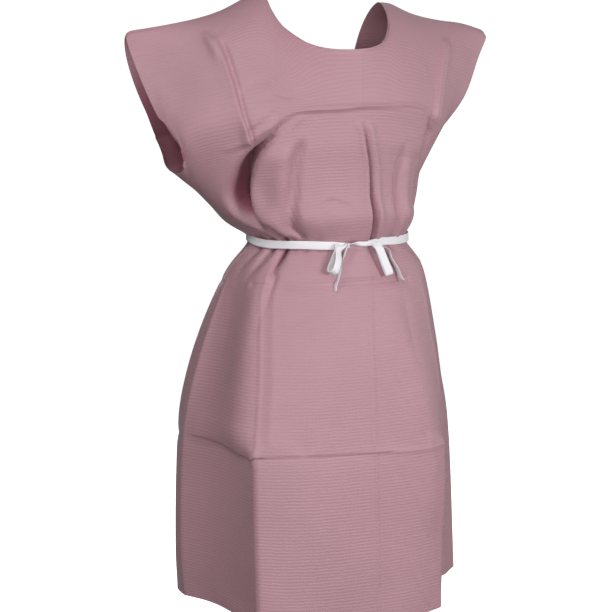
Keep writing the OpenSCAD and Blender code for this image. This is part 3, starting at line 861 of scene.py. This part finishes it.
# Sleeve piece: taken from a line from the shoulder to the foot of the armhole on; an end point this far
# towards the tip is stored, and nothing bends the piece. A vent piece is taken from its joint on, with an
# end point stored the same way.
SLEEVE_BEND, VENT_BEND = 0.128, 0.10
SLEEVE_START_X, SLEEVE_START_Z = 0.170, -0.020
SLEEVE_FOOT_X, SLEEVE_FOOT_Z = 0.216, -0.266
# A piece takes faces from this reach on; a sleeve ends above one place, a vent starts below another
BEND_MARGIN, SLEEVE_LAST_ROW, VENT_FIRST_ROW = -0.004, 1.7, 2.66

face_points = cloth.points[cloth.faces].mean(1)
taken = np.zeros(len(cloth.faces), bool)

bends = {}
for side, word in SIDES:
    outward = unit(np.array([side * (SLEEVE_START_Z - SLEEVE_FOOT_Z), 0, SLEEVE_FOOT_X - SLEEVE_START_X]))
    start = np.array([side * SLEEVE_START_X, 0, SLEEVE_START_Z])
    reach = (face_points - start) @ outward
    picked = (reach > BEND_MARGIN) & (cloth.rows < SLEEVE_LAST_ROW) & (face_points[:, 0] * side > 0) & ~taken
    taken |= picked
    bends[word + "_sleeve"] = (start, start + outward * SLEEVE_BEND, picked)

for side, word in SIDES:
    pivot, axis = joint_position(word + "_vent_open")
    away = cloth.points[cloth.index[word][-1, 0]] - pivot
    away = unit(away - axis * (away @ axis))
    reach = (face_points - pivot) @ away
    picked = (cloth.names == word) & (cloth.rows > VENT_FIRST_ROW) & (reach > BEND_MARGIN) & ~taken
    taken |= picked
    bends[word + "_vent"] = (pivot, pivot + away * VENT_BEND, picked)


def put_on(piece, slot, body, *nodes):
    """Fixes a piece to one body, in place of the named nodes."""
    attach(piece, body)
    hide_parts(*nodes)
    return piece


gown_body = put_on(cloth_piece("gown_body", ~taken, gown_tissue), "gown_tissue", "gown",
                   "front_yoke", "right_shoulder", "left_shoulder", "front_bodice", "front_hip",
                   "front_skirt_upper", "front_skirt_lower", "right_back_bodice", "left_back_bodice",
                   "right_back_skirt", "left_back_skirt")

NODE_OF = {"sleeve": "cap_sleeve", "vent": "back_vent"}
for body, (start, end, picked) in bends.items():
    word, part = body.split("_")
    piece = cloth_piece(body + "_cloth", picked, gown_tissue)
    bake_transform(piece)
    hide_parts(word + "_" + NODE_OF[part])


# -------- side seams
SEAM_WIDTH, SEAM_THICKNESS, SEAM_INSET = 0.010, 0.0009, 0.0008
# The outermost strips of a strap are thinner, so that its edges are not blunt
EDGE_THINNING = 0.55


def strap(name, path, across, width, thickness, material, cup=0.0, steps=6):
    """A flat strap: its middle line, the direction of its width and its width at each point."""
    path, across = np.asarray(path, float), unit(np.asarray(across, float))
    width = np.broadcast_to(width, len(path))
    up = unit(np.cross(np.gradient(path, axis=0), across))
    length = np.concatenate([[0], np.cumsum(np.linalg.norm(np.diff(path, axis=0), axis=1))])
    spots = np.linspace(-0.5, 0.5, steps + 1)
    ring = [(s, 0.5) for s in spots] + [(s, -0.5) for s in spots[::-1]]
    points, flat, faces = [], [], []
    for i in range(len(path)):
        for s, h in ring:
            curl = cup * (1 - (2 * s)**2)
            edge = EDGE_THINNING if abs(s) == 0.5 else 1.0
            points.append(path[i] + across[i] * s * width[i] + up[i] * (h * thickness * edge + curl))
            # The third cloth coordinate is 0.3 on one face and -0.3 on the other: a tissue material paints
            # the first face in its full fold shade colour.
            flat.append((s * width[i], length[i], 0.3 * np.sign(h)))
    m = len(ring)
    for i in range(len(path) - 1):
        for k in range(m):
            a, b = i * m + k, i * m + (k + 1) % m
            faces.append((a, b, b + m, a + m))
    last = (len(path) - 1) * m
    for k in range(steps):
        faces.append((k, m - 1 - k, m - 2 - k, k + 1))
        faces.append((last + k, last + k + 1, last + m - 2 - k, last + m - 1 - k))
    return mesh_object(name, points, faces, material, flat)


def through(points, count):
    """Evenly counted points on a smooth curve through the given ones."""
    points = np.asarray(points, float)
    reach = np.concatenate([[0], np.cumsum(np.linalg.norm(np.diff(points, axis=0), axis=1))])
    at = np.linspace(0, reach[-1], count)
    return np.stack([curve(np.stack([reach, points[:, k]], 1), at) for k in range(points.shape[1])], 1)


for side, word in SIDES:
    edge = cloth.points[cloth.index["front"][seam_row:, 0 if side == RIGHT else -1]][::3]
    inward = np.array([-side, 0.0, 0.0])
    middle = edge + inward * (SEAM_WIDTH / 2 + SEAM_INSET)
    # Painted shade: the strips take the darker seam tissue, and one face of each takes its full deep colour.
    seam = strap(word + "_seam_allowance", middle, np.repeat(inward[None], len(edge), 0),
                 SEAM_WIDTH, SEAM_THICKNESS, seam_tissue)
    put_on(seam, "seam_tissue", "gown", word + "_side_seam")


# -------- belt, knot and bow
belt_low, belt_high = (np.array(c, float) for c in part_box("belt_band"))
knot_low, knot_high = (np.array(c, float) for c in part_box("belt_knot"))
TAPE_WIDTH, TAPE_THICKNESS, BELT_INSET = 0.0127, 0.0006, 0.0008
belt_x, _, belt_z = (belt_low + belt_high) / 2
belt_y = levels(BELT)[-1] * MM
belt_half = ((belt_high[0] - belt_low[0]) / 2 - BELT_INSET) * (1 - WAIST_SQUEEZE)
belt_front, belt_back = belt_y - belt_low[1] - BELT_INSET, belt_high[1] - belt_y - BELT_INSET


def turn_at(x):
    return math.asin((x - belt_x) / belt_half)


# The belt rides up at this turn, on the wearer's right, and sags a little at the knot
BELT_RISE_TURN, BELT_RISE, BELT_SAG = 4.5, 0.0050, 0.0020
# The band runs this far into the knot, whose visual is this much shorter than the CAD's
OVERLAP, KNOT_SHORTER = 0.002, 0.004
knot_right, knot_left = knot_low[0] + KNOT_SHORTER, knot_high[0] - KNOT_SHORTER
start_turn, end_turn = turn_at(knot_left - OVERLAP), turn_at(knot_right + OVERLAP) + 2 * math.pi
turns = np.linspace(start_turn, end_turn, 220)
depth = np.where(np.cos(turns) > 0, belt_front, belt_back)
band = np.stack([belt_x + belt_half * np.sin(turns), belt_y - depth * np.cos(turns),
                 np.full_like(turns, belt_z)], -1)
band[:, 2] += 0.0006 * np.sin(3 * turns + 1) + 0.0005 * np.sin(7 * turns)
band[:, 2] += BELT_RISE * swell(turns - BELT_RISE_TURN, 0.3) - BELT_SAG * swell(turns - 2 * math.pi, 0.5)
from_end = np.minimum(turns - turns[0], turns[-1] - turns) * belt_half
band_width = TAPE_WIDTH * (0.55 + 0.45 * smoothstep(0, 0.03, from_end))
band_across = np.stack([np.zeros_like(turns), np.zeros_like(turns), np.ones_like(turns)], 1)
band_across += 0.12 * np.sin(5 * turns)[:, None] * np.stack(
    [np.sin(turns), -np.cos(turns), np.zeros_like(turns)], 1)
belt = strap("waist_belt", band, band_across, band_width, TAPE_THICKNESS, belt_tape, steps=8)

# The knot: the tape twisted across the front, between the two halves of the bow
KNOT_WIDTH, KNOT_THICKNESS, KNOT_OUT, ROOT_OUT = 0.0076, 0.0012, 0.0026, 0.003
x = np.linspace(knot_right - 0.006, knot_left + 0.006, 70)
k = (x - x[0]) / (x[-1] - x[0])
face_y = belt_y - belt_front * np.sqrt(1 - ((x - belt_x) / belt_half)**2)
knot_path = np.stack([x, face_y - KNOT_OUT, belt_z + 0.0008 * np.sin(2 * math.pi * k)], 1)
twist = math.radians(78) * (1 - smoothstep(0.05, 0.8, k)) + math.radians(12) * np.sin(9 * k)
knot_across = np.stack([np.zeros_like(x), np.cos(twist + math.pi / 2), np.sin(twist + math.pi / 2)], 1)
knot = strap("belt_twist", knot_path, knot_across, KNOT_WIDTH, KNOT_THICKNESS, belt_tape, cup=0.0006)


def hang(joint, sideways, lean, turned):
    """Hang point and directions of a piece of the bow: down, across and out. Angles in degrees."""
    pivot, _ = joint_position(joint)
    out = np.array([0, -1.0, 0])
    a, b = math.radians(sideways), math.radians(lean)
    down = np.array([-math.sin(a), -math.sin(b) * math.cos(a), -math.cos(a) * math.cos(b)])
    out = unit(out - down * (out @ down))
    across = np.cross(out, down)
    c = math.radians(turned)
    return pivot, down, across * math.cos(c) + out * math.sin(c), out * math.cos(c) - across * math.sin(c)


def bow_loop(word, length, sideways, lean, turned, root, bulge):
    """A loop of tape that hangs from the knot and comes back to it. Its profile is down, out."""
    pivot, down, across, out = hang(word + "_loop_lift", sideways, lean, turned)
    profile = [(0.0, -0.002), (0.14, 0.2), (0.45, 0.75), (0.75, 1.0), (0.93, 0.9), (1.0, 0.45),
               (0.97, 0.05), (0.8, -0.12), (0.5, -0.05), (0.2, 0.05), (0.02, 0.0)]
    line = [pivot + down * length * a + out * bulge * b for a, b in profile]
    line = through([root] + line[1:] + [root + np.array([0, 0.0012, 0])], 60)
    ease = window(np.linspace(0, 1, len(line)), 0.14, 0.86, 0.14)
    width = TAPE_WIDTH * (0.5 + 0.5 * ease)
    level_across = np.array([0.0, -0.7, 0.7])
    turned_across = across[None] * ease[:, None] + level_across[None] * (1 - ease[:, None]) * 0.35
    piece = strap("bow_loop_" + word, line, turned_across, width, TAPE_THICKNESS, belt_tape, cup=0.0004)
    return put_on(piece, "belt_tape", word + "_loop", word + "_bow_loop")


def tie_end(word, length, sideways, lean, turned, root):
    """A free end of the tape, hanging from the knot."""
    pivot, down, across, out = hang(word + "_tail_lift", sideways, lean, turned)
    marks = [root, pivot + down * 0.10 * length, pivot + down * 0.35 * length + out * 0.0015,
             pivot + down * 0.65 * length, pivot + down * 0.85 * length + out * 0.001,
             pivot + down * length]
    line = through(marks, 40)
    k = np.linspace(0, 1, len(line))
    width = TAPE_WIDTH * (0.55 + 0.45 * smoothstep(0, 0.3, k))
    across = across + 0.12 * np.sin(5 * k)[:, None] * out
    piece = strap("tie_end_" + word, line, across, width, TAPE_THICKNESS, belt_tape, cup=0.0005)
    return put_on(piece, "belt_tape", word + "_tail", word + "_tie_end")


put_on(belt, "belt_tape", "gown", "belt_band")
put_on(knot, "belt_tape", "gown", "belt_knot")
right_root = np.array([knot_right - OVERLAP, face_y[0] - ROOT_OUT, belt_z])
left_root = np.array([knot_left + OVERLAP, face_y[-1] - ROOT_OUT, belt_z])
# Length in metres, then degrees it leans to the side, leans out and is turned
loops = [bow_loop("right", 0.047, 27, 15, -10, right_root, bulge=0.013),
         bow_loop("left", 0.052, -16, 16, 6, left_root, bulge=0.005)]
tails = [tie_end("right", 0.068, 20, 7, 96, right_root),
         tie_end("left", 0.060, -22, 14, 92, left_root)]


# -------- stage, camera and light
FLOOR_DROP, STAGE_RADIUS, STAGE_BEND, STAGE_HEIGHT = 0.35, 6.0, 1.0, 5.0
AZIMUTH, ELEVATION, DISTANCE = -25, 8.5, 3.0
LOOK_AT = Vector((-0.030, 0.0, -0.475))
FRAME_MM_PER_PIXEL, FRAME_PIXELS, SENSOR = 1.57, 612, 36.0
WORLD_STRENGTH = 0.11


def stage():
    """A pale round floor that curves up into a wall all the way round."""
    low = cad_bounds[0][2] - FLOOR_DROP
    bends = np.linspace(0, math.pi / 2, 12)
    profile = [(0.01, low), (STAGE_RADIUS - STAGE_BEND, low)]
    profile += [(STAGE_RADIUS - STAGE_BEND + STAGE_BEND * math.sin(a), low + STAGE_BEND * (1 - math.cos(a)))
                for a in bends[1:]]
    profile += [(STAGE_RADIUS, low + STAGE_HEIGHT)]
    turns = np.linspace(0, 2 * math.pi, 97)[:-1]
    points = [(r * math.cos(a), r * math.sin(a), z) for r, z in profile for a in turns]
    n = len(turns)
    faces = [(i * n + k, (i + 1) * n + k, (i + 1) * n + (k + 1) % n, i * n + (k + 1) % n)
             for i in range(len(profile) - 1) for k in range(n)]
    faces.append(tuple(range(n)))
    s = Shader("studio_sweep")
    s.set("Base Color", (0.92, 0.92, 0.92, 1))
    s.set("Roughness", 0.9)
    s.set("Specular IOR Level", 0.0)
    s.set("Emission Strength", 0.9)
    floor = mesh_object("studio_sweep", points, faces, s.material, [(0, 0, 0)] * len(points))
    for ray in ("diffuse", "glossy", "transmission", "shadow"):
        setattr(floor, "visible_" + ray, False)


def aimed(name, data, azimuth, elevation, distance):
    """A camera or light that looks at the gown from a direction, in degrees."""
    obj = bpy.data.objects.new(name, data)
    bpy.context.scene.collection.objects.link(obj)
    a, e = math.radians(azimuth), math.radians(elevation)
    towards = Vector((math.sin(a) * math.cos(e), -math.cos(a) * math.cos(e), math.sin(e)))
    obj.location = LOOK_AT + towards * distance
    obj.rotation_euler = (-towards).to_track_quat("-Z", "Y").to_euler()
    return obj


def camera():
    data = bpy.data.cameras.new("camera")
    data.sensor_width = SENSOR
    data.lens = SENSOR * DISTANCE / (FRAME_MM_PER_PIXEL * MM * FRAME_PIXELS)
    bpy.context.scene.camera = aimed("camera", data, AZIMUTH, ELEVATION, DISTANCE)


def softbox(name, azimuth, elevation, distance, size, power):
    data = bpy.data.lights.new(name, "AREA")
    data.shape = "DISK"
    data.size = size
    data.energy = power
    aimed(name, data, azimuth, elevation, distance)


stage()
camera()
softbox("key", 20, 10, 2.8, 0.9, 39)
softbox("front", -28, 10, 2.8, 0.9, 16)
softbox("left_high", -56, 45, 2.8, 0.9, 27)
softbox("low_card", -20, -13, 2.0, 0.5, 6)
softbox("right", 75, 10, 2.8, 0.9, 14)
softbox("back", 165, 22, 2.8, 1.1, 42)
world = bpy.data.worlds.new("studio")
bpy.context.scene.world = world
world.use_nodes = True
world.node_tree.nodes["Background"].inputs["Color"].default_value = (1, 1, 1, 1)
world.node_tree.nodes["Background"].inputs["Strength"].default_value = WORLD_STRENGTH
bpy.context.scene.view_settings.view_transform = "Standard"
